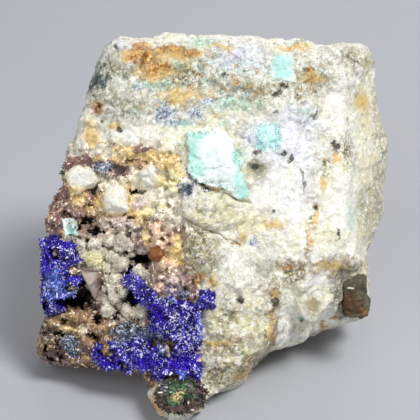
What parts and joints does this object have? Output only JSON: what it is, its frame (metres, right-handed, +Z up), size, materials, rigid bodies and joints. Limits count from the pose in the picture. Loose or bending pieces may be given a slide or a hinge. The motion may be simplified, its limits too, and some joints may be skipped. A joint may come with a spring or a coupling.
{
  "type": "linarite specimen",
  "caption": "Blocky chunk of cream quartz and brown gossan with deep blue linarite crusts and pale turquoise plates on its front, resting on a flat base.",
  "frame": {"origin": "middle of the standing specimen's bounding box, on the ground under its flat base", "axes": "+Z up, -Y towards the viewer of the crystal-bearing front, +X to that viewer's right"},
  "size_m": [0.0334, 0.0322, 0.0298],
  "materials": {
    "host_rock": "broken, part glassy and part earthy",
    "linarite": "sparkling crystals",
    "green_crust": "rough",
    "turquoise": "satin",
    "aqua": "chalky",
    "mint": "chalky",
    "cream_quartz": "glassy",
    "white_quartz": "glassy",
    "rose_crystal": "satin",
    "grey_lumps": "dull",
    "limonite": "earthy",
    "brown_block": "dull"
  },
  "bodies": {
    "root": {"host_rock": "host_rock", "linarite_main_crust": "linarite", "linarite_edge_crust": "linarite", "linarite_vug_cluster": "linarite", "linarite_small_cluster": "linarite", "knob_crust": "green_crust", "turquoise_plate": "turquoise", "aqua_patch_upper": "aqua", "aqua_patch_speckled": "aqua", "mint_patch": "mint", "cream_grain_upper": "cream_quartz", "cream_grain_lower": "cream_quartz", "cream_grain_inner": "cream_quartz", "white_quartz_lump": "white_quartz", "rose_crystal": "rose_crystal", "grey_lump_cluster": "grey_lumps", "limonite_lump": "limonite", "brown_block": "brown_block"}
  },
  "joints": []
}
